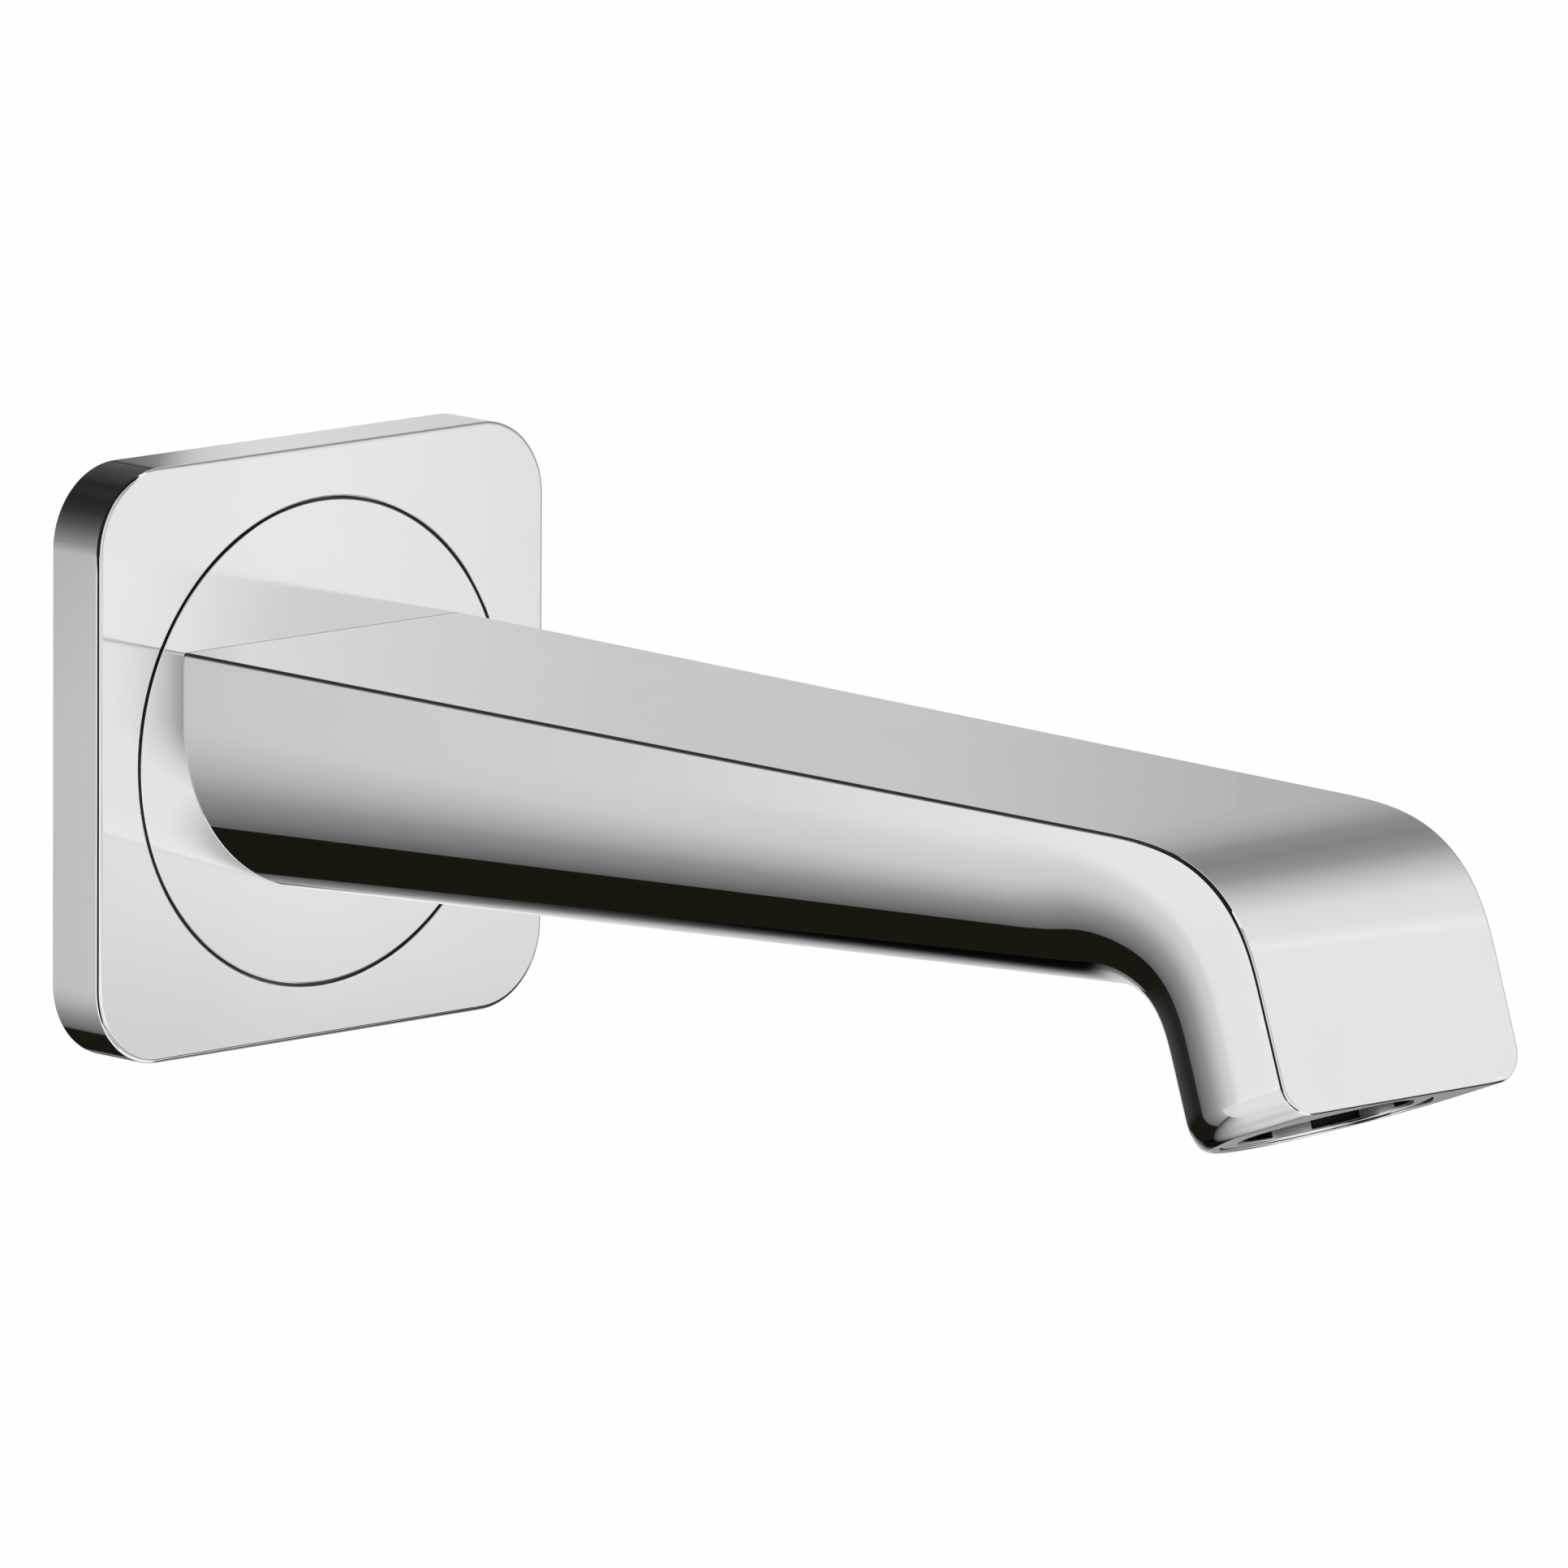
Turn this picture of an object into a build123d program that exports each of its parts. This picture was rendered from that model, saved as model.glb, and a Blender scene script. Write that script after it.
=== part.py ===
from build123d import *
import math
import os

# A wall-mounted bath spout in millimetres, +Z up. The wall is the plane Y = 0, the pipe axis is the Y axis
# and the spout reaches out along -Y.

os.makedirs("parts", exist_ok=True)

# Escutcheon plate: a square with rounded corners, hollow behind, with a round hole for the cover disc
plate_side = 70.0
plate_thickness = 8.0
plate_corner_radius = 9.5
plate_edge_radius = 0.6
plate_border = 6.15
plate_rim_width = 2.0
plate_wall = 4.0
plate_face_thickness = 2.8
plate_collar_width = 3.0

# Wall seal: a flat soft gasket in the back of the plate
seal_thickness = 2.0
seal_clearance = 0.1
seal_hole_clearance = 0.4

# Cover disc: flush in the plate and carried on the hub of the spout
disc_gap = 0.35
disc_radius = plate_side / 2 - plate_border - disc_gap
disc_edge_radius = 0.2
disc_back_room = 2.5
disc_relief_depth = 2.0
disc_relief_margin = 3.0
disc_groove_width = 2.6
disc_groove_depth = 1.75

# Hub at the root of the spout, with a groove for the retaining ring behind the disc
hub_radius = 12.0
hub_clearance = 0.1
hub_wall_gap = 0.3
ring_thickness = 1.2
ring_groove_depth = 0.6
ring_width = 3.0
ring_opening = 40.0

# Spout: a U section with a flat top that tapers, bends down and ends in a leaning nose
root_half_width = 21.75
side_taper = 1.02
top_height = 12.9
top_fall = 0.52
under_depth = 17.15
under_rise = 3.15
top_corner_reach = 169.93
inner_corner_set_back = 22.95
under_corner_reach = top_corner_reach - inner_corner_set_back
outer_bend_length = 23.45
inner_bend_length = 11.5
nose_lean = 19.25
nose_front_height = 29.98
outlet_lean = 20.3
outlet_set_back = 13.68
bend_bulge_share = 0.4
top_edge_radius = 0.45
rim_side_radius = 4.0
rim_back_radius = 1.0
rim_front_radius = 0.35

# Cast hollow of the spout
spout_wall = 3.0
core_corner_radius = 1.0
core_straight = 1.5
core_back_wall = 2.0
outlet_floor = 3.0

# Nipple: pipe thread on the wall side, plain spigot with two sealing rings on the spout side
thread_radius = 10.48
thread_length = 14.0
thread_chamfer = 1.0
nipple_radius = 9.5
nipple_bore_radius = 5.8
nipple_front_gap = 2.0
nipple_chamfer = 0.8
key_across_flats = 10.0
key_depth = 9.0
socket_clearance = 0.1
socket_depth = 28.0
o_ring_groove_width = 2.2
o_ring_groove_depth = 1.6
o_ring_slack = 0.02
front_ring_set_back = 4.0
ring_spacing = 5.0

# Set screw from below, in a groove of the nipple
screw_radius = 3.0
screw_clearance = 0.06
screw_length = 7.0
screw_reach = 9.5
screw_groove_depth = 1.1
screw_groove_width = 7.0
screw_tip_chamfer = 1.0
screw_key_across_flats = 3.0
screw_key_depth = 3.0

# Aerator, counted upwards along the nose from the outlet plane
aerator_rim_radius = 12.2
aerator_rim_gap = 0.2
aerator_recess = 0.2
aerator_rim_height = 1.8
aerator_lip = 0.35
aerator_rim_room = 0.1
aerator_thread_radius = 11.4
aerator_thread_clearance = 0.06
aerator_wall = 1.2
aerator_height = 7.75
notch_count = 6
notch_width = 5.6
notch_height = 1.0
notch_turn = 40.0
ledge_height = 0.8
ledge_width = 0.8
insert_clearance = 0.1
grid_thickness = 2.6
grid_pitch = 2.7
grid_web = 0.5
grid_rim = 0.5
screen_thickness = 0.5
screen_pitch = 2.0
screen_opening = 1.2
jet_plate_thickness = 1.6
jet_radius = 0.5
jet_circle_radius = 7.4
jet_count = 18
strainer_flange_thickness = 0.7
strainer_radius = 6.4
strainer_height = 4.0
strainer_wall = 0.8
strainer_slot_width = 1.0
strainer_slot_count = 12
strainer_flange_margin = 0.25
aerator_seal_thickness = 2.4
aerator_seal_width = 2.6
outlet_throat_radius = 7.4

# Steps of the lofts, and fixed angles and counts
path_steps = 192
bend_steps = 16
core_steps = 12
rim_steps = 8
right_angle = 90.0
hexagon_sides = 6


def sine(degrees):
    return math.sin(math.radians(degrees))


def cosine(degrees):
    return math.cos(math.radians(degrees))


def line_crossing(start, direction, point, along):
    """Point where a ray in the side view meets a straight line."""
    across = Vector(0, along.Z, -along.Y)
    return start + direction * ((point - start).dot(across) / direction.dot(across))


def ease(share):
    """Share of its turn that a bend has made: it tightens slowly and straightens sooner."""
    return share**3 * (4 - 3 * share)


def eased_bend(corner, direction, turn, length):
    """Points of a bend between two lines that meet in a corner, from a length before the corner."""
    sideways = Vector(0, -direction.Z, direction.Y)
    path = [Vector(0, 0, 0)]
    for step in range(path_steps):
        heading = turn * (ease(step / path_steps) + ease((step + 1) / path_steps)) / 2
        path.append(path[-1] + direction * cosine(heading) + sideways * sine(heading))
    path_length = path[-1].dot(direction) - path[-1].dot(sideways) / math.tan(math.radians(turn))
    return [corner + (point / path_length - direction) * length for point in path]


# Side view of the spout: top line, outer bend, nose front, outlet, nose back, inner bend, underside
face_y = -plate_thickness
top_direction = Vector(0, -cosine(top_fall), -sine(top_fall))
nose_direction = Vector(0, -sine(nose_lean), -cosine(nose_lean))
outlet_direction = Vector(0, -sine(outlet_lean), -cosine(outlet_lean))
outlet_forward = Vector(0, -cosine(outlet_lean), sine(outlet_lean))
under_direction = Vector(0, -cosine(under_rise), sine(under_rise))

top_start = Vector(0, face_y, top_height)
top_corner = top_start + top_direction * (top_corner_reach / cosine(top_fall))
nose_tip = top_corner + nose_direction * nose_front_height
outer_turn = right_angle - top_fall - nose_lean
outer_bend = eased_bend(top_corner, top_direction, outer_turn, outer_bend_length)
outer_outline = [top_start] + outer_bend + [nose_tip]

under_start = Vector(0, face_y, -under_depth)
under_corner = under_start + under_direction * (under_corner_reach / cosine(under_rise))
nose_heel = line_crossing(nose_tip, outlet_forward, under_corner, nose_direction)
inner_turn = right_angle + under_rise - nose_lean
inner_bend = eased_bend(under_corner, under_direction, inner_turn, inner_bend_length)


def half_width_at(point):
    return root_half_width - math.tan(math.radians(side_taper)) * (face_y - point.Y)


def ray_station(inner, tilt):
    """Inner point and the point where a ray, tilted forwards from straight up, meets the outer outline."""
    ray = Vector(0, -sine(tilt), cosine(tilt))
    for start, end in zip(outer_outline, outer_outline[1:]):
        if (end - inner).dot(Vector(0, cosine(tilt), sine(tilt))) < 0:
            return inner, line_crossing(inner, ray, start, end - start)


def arm_station(share):
    """Inner and outer point of a section of the straight arm, from the root to the inner bend."""
    return ray_station(under_start + (inner_bend[0] - under_start) * share, -under_rise * share)


def bend_station(step):
    """Inner and outer point of a section square to the inner bend, after some steps of its path."""
    return ray_station(inner_bend[step], inner_turn * ease(step / path_steps) - under_rise)


def nose_station(height):
    """Inner and outer point of a section of the nose, a height above the outlet."""
    level = nose_tip - outlet_direction * height
    inner = line_crossing(level, outlet_forward, nose_heel, nose_direction)
    return inner, line_crossing(level, outlet_forward, nose_tip, nose_direction)


def section_plane(inner, outer, inset=0.0):
    upward = (outer - inner).normalized()
    return Plane(origin=outer - upward * inset, x_dir=(1, 0, 0), z_dir=Vector(1, 0, 0).cross(upward))


def u_section(plane, half_width, straight, bulge, corner):
    """Flat top with small corner rounds, straight sides and a half-ellipse below."""
    with BuildSketch(plane) as section:
        with BuildLine():
            top = Line((-half_width + corner, 0), (half_width - corner, 0))
            right_round = TangentArc(top @ 1, (half_width, -corner), tangent=(1, 0))
            Line(right_round @ 1, (half_width, -straight))
            EllipticalCenterArc((0, -straight), half_width, bulge, start_angle=0, arc_size=-2 * right_angle)
            left_side = Line((-half_width, -straight), (-half_width, -corner))
            TangentArc(left_side @ 1, top @ 0, tangent=(0, 1))
        make_face()
    return section.sketch


def depth_of(inner, outer):
    return (outer - inner).length


def bend_bulge(inner, outer):
    """Depth of the half-ellipse, which takes a share of what the bend adds to the depth of the arm."""
    return half_width_at(outer) + bend_bulge_share * (depth_of(inner, outer) - depth_of(*bend_station(0)))


def arm_section(inner, outer):
    half_width = half_width_at(outer)
    straight = depth_of(inner, outer) - half_width
    return u_section(section_plane(inner, outer), half_width, straight, half_width, top_edge_radius)


def bend_section(inner, outer):
    bulge = bend_bulge(inner, outer)
    straight = depth_of(inner, outer) - bulge
    return u_section(section_plane(inner, outer), half_width_at(outer), straight, bulge, top_edge_radius)


def core_section(inner, outer):
    half_width = half_width_at(outer) - spout_wall
    bulge = depth_of(inner, outer) - 2 * spout_wall - core_straight
    plane = section_plane(inner, outer, spout_wall)
    return u_section(plane, half_width, core_straight, bulge, core_corner_radius)


def round_inset(radius, height):
    """How far an edge round of the outlet stands in, a height above the outlet."""
    reach = max(0, radius - height)
    return radius - math.sqrt(radius**2 - reach**2)


def rim_section(turn):
    """Section of the rounded outlet rim: wide rounds at the sides, narrow ones at the back and front."""
    height = rim_side_radius * (1 - sine(turn))
    side_inset = rim_side_radius * (1 - cosine(turn))
    front_inset = round_inset(rim_front_radius, height)
    inner, outer = nose_station(height)
    bulge = bend_bulge(inner, outer)
    straight = depth_of(inner, outer) - bulge - front_inset
    back_bulge = bulge - round_inset(rim_back_radius, height)
    plane = section_plane(inner, outer, front_inset)
    return u_section(plane, half_width_at(outer) - side_inset, straight, back_bulge, top_edge_radius)


# Places along the pipe axis, from the wall outwards
disc_back_y = -disc_back_room
ring_back_y = disc_back_y + ring_thickness
hub_end_y = -hub_wall_gap
socket_end_y = face_y - socket_depth
nipple_front_y = socket_end_y + nipple_front_gap
front_ring_y = nipple_front_y + front_ring_set_back
rear_ring_y = front_ring_y + ring_spacing
screw_y = face_y - screw_reach
socket_radius = nipple_radius + socket_clearance
groove_floor_radius = nipple_radius - o_ring_groove_depth
screw_seat_radius = nipple_radius - screw_groove_depth

# Places along the nose axis, from the outlet upwards
outlet_center = nose_tip - outlet_forward * outlet_set_back
outlet = Plane(origin=outlet_center, x_dir=(1, 0, 0), z_dir=outlet_direction * -1)
rim_top = aerator_recess + aerator_rim_height
notch_base = aerator_recess + aerator_lip
ledge_base = notch_base + notch_height
grid_base = ledge_base + ledge_height
screen_base = grid_base + grid_thickness
jet_base = screen_base + screen_thickness
strainer_base = jet_base + jet_plate_thickness
housing_top = aerator_recess + aerator_height
seat_height = housing_top + aerator_seal_thickness
aerator_bore_radius = aerator_thread_radius - aerator_wall
insert_radius = aerator_bore_radius - insert_clearance
seal_inner_radius = aerator_thread_radius - aerator_seal_width
socket_thread_radius = aerator_thread_radius + aerator_thread_clearance
core_start_share = (socket_depth + core_back_wall) / (face_y - inner_bend[0].Y)


def outlet_height(inner, outer):
    """Height of the middle of a section above the outlet."""
    return (nose_tip - (inner + outer) / 2).dot(outlet_direction)


# Stations of the arm, the bend and the nose, and of the cast hollow, which ends above the seat of the aerator
bend_stations = [bend_station(step * path_steps // bend_steps) for step in range(bend_steps + 1)]
core_limit = seat_height + outlet_floor
core_end = max(step for step in range(path_steps) if outlet_height(*bend_station(step)) > core_limit)
core_stations = [bend_station(step * core_end // core_steps) for step in range(core_steps + 1)]

# Spout body: lofted skin, rounded outlet rim, hub, cast hollow, nipple socket and aerator socket
with BuildPart() as spout_body:
    loft([arm_section(*arm_station(0)), arm_section(*arm_station(1))])
    loft([bend_section(*station) for station in bend_stations])
    loft([bend_section(*bend_stations[-1]), bend_section(*nose_station(rim_side_radius))])
    loft([rim_section(right_angle * step / rim_steps) for step in range(rim_steps + 1)])
    loft([core_section(*arm_station(core_start_share)), core_section(*arm_station(1))], mode=Mode.SUBTRACT)
    loft([core_section(*station) for station in core_stations], mode=Mode.SUBTRACT)
    with BuildSketch(Plane.XZ.offset(-hub_end_y)):
        Circle(hub_radius)
    extrude(amount=hub_end_y - face_y)
    with BuildSketch(Plane.XZ.offset(-ring_back_y)):
        Circle(hub_radius)
        Circle(hub_radius - ring_groove_depth, mode=Mode.SUBTRACT)
    extrude(amount=ring_thickness, mode=Mode.SUBTRACT)
    with BuildSketch(Plane.XZ.offset(-hub_end_y)):
        Circle(socket_radius)
    extrude(amount=hub_end_y - socket_end_y + core_back_wall + spout_wall, mode=Mode.SUBTRACT)
    with BuildSketch(Plane.XY.offset(-screw_seat_radius)):
        with Locations((0, screw_y)):
            Circle(screw_radius)
    extrude(amount=-under_depth, mode=Mode.SUBTRACT)
    with BuildSketch(outlet):
        Circle(aerator_rim_radius + aerator_rim_gap)
    extrude(amount=rim_top + aerator_rim_room, mode=Mode.SUBTRACT)
    with BuildSketch(outlet):
        Circle(socket_thread_radius)
    extrude(amount=seat_height, mode=Mode.SUBTRACT)
    with BuildSketch(outlet):
        Circle(outlet_throat_radius)
    extrude(amount=seat_height + 2 * outlet_floor, mode=Mode.SUBTRACT)
spout_body.part.label = "spout_body"

# Escutcheon plate: rounded square, seal recess and corner pockets behind, round hole with a collar
with BuildPart() as escutcheon_plate:
    with BuildSketch(Plane.XZ):
        RectangleRounded(plate_side, plate_side, plate_corner_radius)
    extrude(amount=plate_thickness)
    front_edges = escutcheon_plate.faces().sort_by(Axis.Y)[0].edges()
    fillet(front_edges, plate_edge_radius)
    recess_side = plate_side - 2 * plate_rim_width
    with BuildSketch(Plane.XZ):
        RectangleRounded(recess_side, recess_side, plate_corner_radius - plate_rim_width)
    extrude(amount=seal_thickness, mode=Mode.SUBTRACT)
    pocket_side = plate_side - 2 * plate_wall
    with BuildSketch(Plane.XZ.offset(seal_thickness)):
        RectangleRounded(pocket_side, pocket_side, plate_corner_radius - plate_wall)
        Circle(disc_radius + disc_gap + plate_collar_width, mode=Mode.SUBTRACT)
    extrude(amount=plate_thickness - seal_thickness - plate_face_thickness, mode=Mode.SUBTRACT)
    with BuildSketch(Plane.XZ):
        Circle(disc_radius + disc_gap)
    extrude(amount=plate_thickness, mode=Mode.SUBTRACT)
escutcheon_plate.part.label = "escutcheon_plate"

# Wall seal: cut from sheet to the outline of the recess, with a round hole behind the disc
with BuildPart() as wall_seal:
    seal_side = plate_side - 2 * (plate_rim_width + seal_clearance)
    with BuildSketch(Plane.XZ):
        RectangleRounded(seal_side, seal_side, plate_corner_radius - plate_rim_width - seal_clearance)
        Circle(disc_radius + disc_gap + seal_hole_clearance, mode=Mode.SUBTRACT)
    extrude(amount=seal_thickness)
wall_seal.part.label = "wall_seal"

# Cover disc: turned, with a ring groove in its edge and a relief behind
with BuildPart() as cover_disc:
    disc_thickness = plate_thickness - disc_back_room
    with BuildSketch(Plane.XZ.offset(disc_back_room)):
        Circle(disc_radius)
    extrude(amount=disc_thickness)
    disc_front = cover_disc.faces().sort_by(Axis.Y)[0]
    fillet(disc_front.edges(), disc_edge_radius)
    groove_y = disc_back_y - disc_thickness / 2
    with BuildSketch(Plane.XZ.offset(-groove_y - disc_groove_width / 2)):
        Circle(disc_radius)
        Circle(disc_radius - disc_groove_depth, mode=Mode.SUBTRACT)
    extrude(amount=disc_groove_width, mode=Mode.SUBTRACT)
    with BuildSketch(Plane.XZ.offset(disc_back_room)):
        Circle(disc_radius - disc_groove_depth - disc_relief_margin)
        Circle(hub_radius + ring_width + disc_relief_margin, mode=Mode.SUBTRACT)
    extrude(amount=disc_relief_depth, mode=Mode.SUBTRACT)
    with BuildSketch(Plane.XZ.offset(disc_back_room)):
        Circle(hub_radius + hub_clearance)
    extrude(amount=disc_thickness, mode=Mode.SUBTRACT)
cover_disc.part.label = "cover_disc"


def sealing_ring(inner_radius, outer_radius, y):
    """Round-section rubber ring round the pipe axis, squeezed between a groove floor and a bore."""
    cord_radius = (outer_radius - inner_radius) / 2 - o_ring_slack
    with BuildPart() as ring:
        with BuildSketch(Plane.XY):
            with Locations(((inner_radius + outer_radius) / 2, y)):
                Circle(cord_radius)
        revolve(axis=Axis.Y)
    return ring


disc_o_ring = sealing_ring(disc_radius - disc_groove_depth, disc_radius + disc_gap, groove_y)
disc_o_ring.part.label = "disc_o_ring"

# Retaining ring: open spring ring in the groove of the hub
with BuildPart() as retaining_ring:
    with BuildSketch(Plane.XZ.offset(-ring_back_y)):
        Circle(hub_radius - ring_groove_depth + ring_width)
        Circle(hub_radius - ring_groove_depth, mode=Mode.SUBTRACT)
        opening_reach = hub_radius + ring_width
        opening_half = opening_reach * math.tan(math.radians(ring_opening / 2))
        with BuildLine():
            Polyline((0, 0), (-opening_half, -opening_reach), (opening_half, -opening_reach), close=True)
        make_face(mode=Mode.SUBTRACT)
    extrude(amount=ring_thickness)
retaining_ring.part.label = "retaining_ring"

# Wall nipple: turned, with ring grooves, a groove for the set screw, and a hexagon for the fitting key
with BuildPart() as wall_nipple:
    with BuildSketch(Plane.XZ):
        Circle(nipple_radius)
    extrude(amount=-nipple_front_y)
    chamfer(wall_nipple.faces().sort_by(Axis.Y)[0].edges(), nipple_chamfer)
    with BuildSketch(Plane.XZ):
        Circle(thread_radius)
    extrude(amount=-thread_length)
    chamfer(wall_nipple.faces().sort_by(Axis.Y)[-1].edges(), thread_chamfer)
    for place, width, depth in (
        (front_ring_y, o_ring_groove_width, o_ring_groove_depth),
        (rear_ring_y, o_ring_groove_width, o_ring_groove_depth),
        (screw_y, screw_groove_width, screw_groove_depth),
    ):
        with BuildSketch(Plane.XZ.offset(-place - width / 2)):
            Circle(nipple_radius)
            Circle(nipple_radius - depth, mode=Mode.SUBTRACT)
        extrude(amount=width, mode=Mode.SUBTRACT)
    with BuildSketch(Plane.XZ.offset(-thread_length)):
        RegularPolygon(key_across_flats / 2, hexagon_sides, major_radius=False)
    extrude(amount=key_depth, mode=Mode.SUBTRACT)
    with BuildSketch(Plane.XZ.offset(key_depth - thread_length)):
        Circle(nipple_bore_radius)
    extrude(amount=thread_length - key_depth - nipple_front_y, mode=Mode.SUBTRACT)
wall_nipple.part.label = "wall_nipple"

nipple_front_o_ring = sealing_ring(groove_floor_radius, socket_radius, front_ring_y)
nipple_front_o_ring.part.label = "nipple_front_o_ring"
nipple_rear_o_ring = sealing_ring(groove_floor_radius, socket_radius, rear_ring_y)
nipple_rear_o_ring.part.label = "nipple_rear_o_ring"

# Set screw: headless, with a hexagon socket below and a chamfered tip on the nipple
with BuildPart() as set_screw:
    with BuildSketch(Plane.XY.offset(-screw_seat_radius - screw_clearance)):
        with Locations((0, screw_y)):
            Circle(screw_radius - screw_clearance)
    extrude(amount=-screw_length)
    chamfer(set_screw.faces().sort_by(Axis.Z)[-1].edges(), screw_tip_chamfer)
    with BuildSketch(Plane.XY.offset(-screw_seat_radius - screw_clearance - screw_length)):
        with Locations((0, screw_y)):
            RegularPolygon(screw_key_across_flats / 2, hexagon_sides, major_radius=False)
    extrude(amount=screw_key_depth, mode=Mode.SUBTRACT)
set_screw.part.label = "set_screw"

# Aerator housing: threaded sleeve with air windows above a closed lip, and a ledge for the insert
with BuildPart() as aerator_housing:
    with BuildSketch(outlet.offset(aerator_recess)):
        Circle(aerator_rim_radius)
    extrude(amount=aerator_rim_height)
    with BuildSketch(outlet.offset(aerator_recess)):
        Circle(aerator_thread_radius)
    extrude(amount=aerator_height)
    with BuildSketch(outlet.offset(aerator_recess)):
        Circle(aerator_bore_radius)
    extrude(amount=ledge_base - aerator_recess, mode=Mode.SUBTRACT)
    with BuildSketch(outlet.offset(ledge_base)):
        Circle(aerator_bore_radius - ledge_width)
    extrude(amount=ledge_height, mode=Mode.SUBTRACT)
    with BuildSketch(outlet.offset(grid_base)):
        Circle(aerator_bore_radius)
    extrude(amount=housing_top - grid_base, mode=Mode.SUBTRACT)
    with BuildSketch(outlet.offset(notch_base)):
        with PolarLocations(aerator_rim_radius, notch_count, start_angle=notch_turn):
            Rectangle(2 * (aerator_rim_radius - aerator_bore_radius) + ledge_width, notch_width)
    extrude(amount=notch_height, mode=Mode.SUBTRACT)
aerator_housing.part.label = "aerator_housing"

# Flow straightener: moulded disc with a honeycomb of through holes
with BuildPart() as flow_straightener:
    with BuildSketch(outlet.offset(grid_base)):
        Circle(insert_radius)
    extrude(amount=grid_thickness)
    grid_row = 2 * int(insert_radius / grid_pitch) + 1
    grid_reach = insert_radius - grid_rim - grid_pitch / 2
    cells = HexLocations(grid_pitch / 2, grid_row, grid_row).local_locations
    kept_cells = [cell.position for cell in cells if cell.position.length < grid_reach]
    with BuildSketch(outlet.offset(grid_base)):
        with Locations(*kept_cells):
            cell_radius = (grid_pitch - grid_web) / 2
            RegularPolygon(cell_radius, hexagon_sides, major_radius=False, rotation=right_angle / 3)
    extrude(amount=grid_thickness, mode=Mode.SUBTRACT)
flow_straightener.part.label = "flow_straightener"

# Mesh screen: thin disc with square openings
with BuildPart() as mesh_screen:
    with BuildSketch(outlet.offset(screen_base)):
        Circle(insert_radius)
    extrude(amount=screen_thickness)
    screen_row = 2 * int(insert_radius / screen_pitch) + 1
    meshes = GridLocations(screen_pitch, screen_pitch, screen_row, screen_row).local_locations
    screen_reach = insert_radius - screen_pitch / 2
    kept_meshes = [mesh.position for mesh in meshes if mesh.position.length < screen_reach]
    with BuildSketch(outlet.offset(screen_base)):
        with Locations(*kept_meshes):
            Rectangle(screen_opening, screen_opening)
    extrude(amount=screen_thickness, mode=Mode.SUBTRACT)
mesh_screen.part.label = "mesh_screen"

# Jet plate: a circle of fine holes that starts the jets
with BuildPart() as jet_plate:
    with BuildSketch(outlet.offset(jet_base)):
        Circle(insert_radius)
    extrude(amount=jet_plate_thickness)
    with BuildSketch(outlet.offset(jet_base)):
        with PolarLocations(jet_circle_radius, jet_count):
            Circle(jet_radius)
    extrude(amount=jet_plate_thickness, mode=Mode.SUBTRACT)
jet_plate.part.label = "jet_plate"

# Inlet strainer: slotted basket with a flange inside the washer
with BuildPart() as inlet_strainer:
    with BuildSketch(outlet.offset(strainer_base)):
        Circle(seal_inner_radius - strainer_flange_margin)
    extrude(amount=strainer_flange_thickness)
    with BuildSketch(outlet.offset(strainer_base)):
        Circle(strainer_radius)
    extrude(amount=strainer_height)
    with BuildSketch(outlet.offset(strainer_base)):
        Circle(strainer_radius - strainer_wall)
    extrude(amount=strainer_height - strainer_wall, mode=Mode.SUBTRACT)
    with BuildSketch(outlet.offset(strainer_base + strainer_flange_thickness)):
        with PolarLocations(strainer_radius, strainer_slot_count):
            Rectangle(2 * strainer_wall + strainer_slot_width, strainer_slot_width)
    extrude(amount=strainer_height - strainer_flange_thickness - strainer_wall, mode=Mode.SUBTRACT)
inlet_strainer.part.label = "inlet_strainer"

# Aerator seal: flat washer between the housing and its seat
with BuildPart() as aerator_seal:
    with BuildSketch(outlet.offset(housing_top)):
        Circle(aerator_thread_radius)
        Circle(seal_inner_radius, mode=Mode.SUBTRACT)
    extrude(amount=aerator_seal_thickness)
aerator_seal.part.label = "aerator_seal"

export_step(spout_body.part, "parts/spout_body.step")
export_step(escutcheon_plate.part, "parts/escutcheon_plate.step")
export_step(wall_seal.part, "parts/wall_seal.step")
export_step(cover_disc.part, "parts/cover_disc.step")
export_step(disc_o_ring.part, "parts/disc_o_ring.step")
export_step(retaining_ring.part, "parts/retaining_ring.step")
export_step(wall_nipple.part, "parts/wall_nipple.step")
export_step(nipple_front_o_ring.part, "parts/nipple_front_o_ring.step")
export_step(nipple_rear_o_ring.part, "parts/nipple_rear_o_ring.step")
export_step(set_screw.part, "parts/set_screw.step")
export_step(aerator_housing.part, "parts/aerator_housing.step")
export_step(flow_straightener.part, "parts/flow_straightener.step")
export_step(mesh_screen.part, "parts/mesh_screen.step")
export_step(jet_plate.part, "parts/jet_plate.step")
export_step(inlet_strainer.part, "parts/inlet_strainer.step")
export_step(aerator_seal.part, "parts/aerator_seal.step")
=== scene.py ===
import math

import bmesh
import bpy
from mathutils import Matrix, Vector


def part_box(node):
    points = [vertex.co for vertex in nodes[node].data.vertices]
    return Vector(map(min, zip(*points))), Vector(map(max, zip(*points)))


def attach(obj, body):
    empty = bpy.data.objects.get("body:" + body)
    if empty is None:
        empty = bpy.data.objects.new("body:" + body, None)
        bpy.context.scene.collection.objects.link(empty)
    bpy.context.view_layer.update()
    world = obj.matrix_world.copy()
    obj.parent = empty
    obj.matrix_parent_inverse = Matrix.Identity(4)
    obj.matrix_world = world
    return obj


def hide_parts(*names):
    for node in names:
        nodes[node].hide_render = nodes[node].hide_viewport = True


# Wall-mounted bath spout in polished chrome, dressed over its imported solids.
# Sizes are millimetres and degrees; a mesh is turned to metres where it is placed.
# The wall is the plane y = 0, and the spout reaches out along -y.

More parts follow.
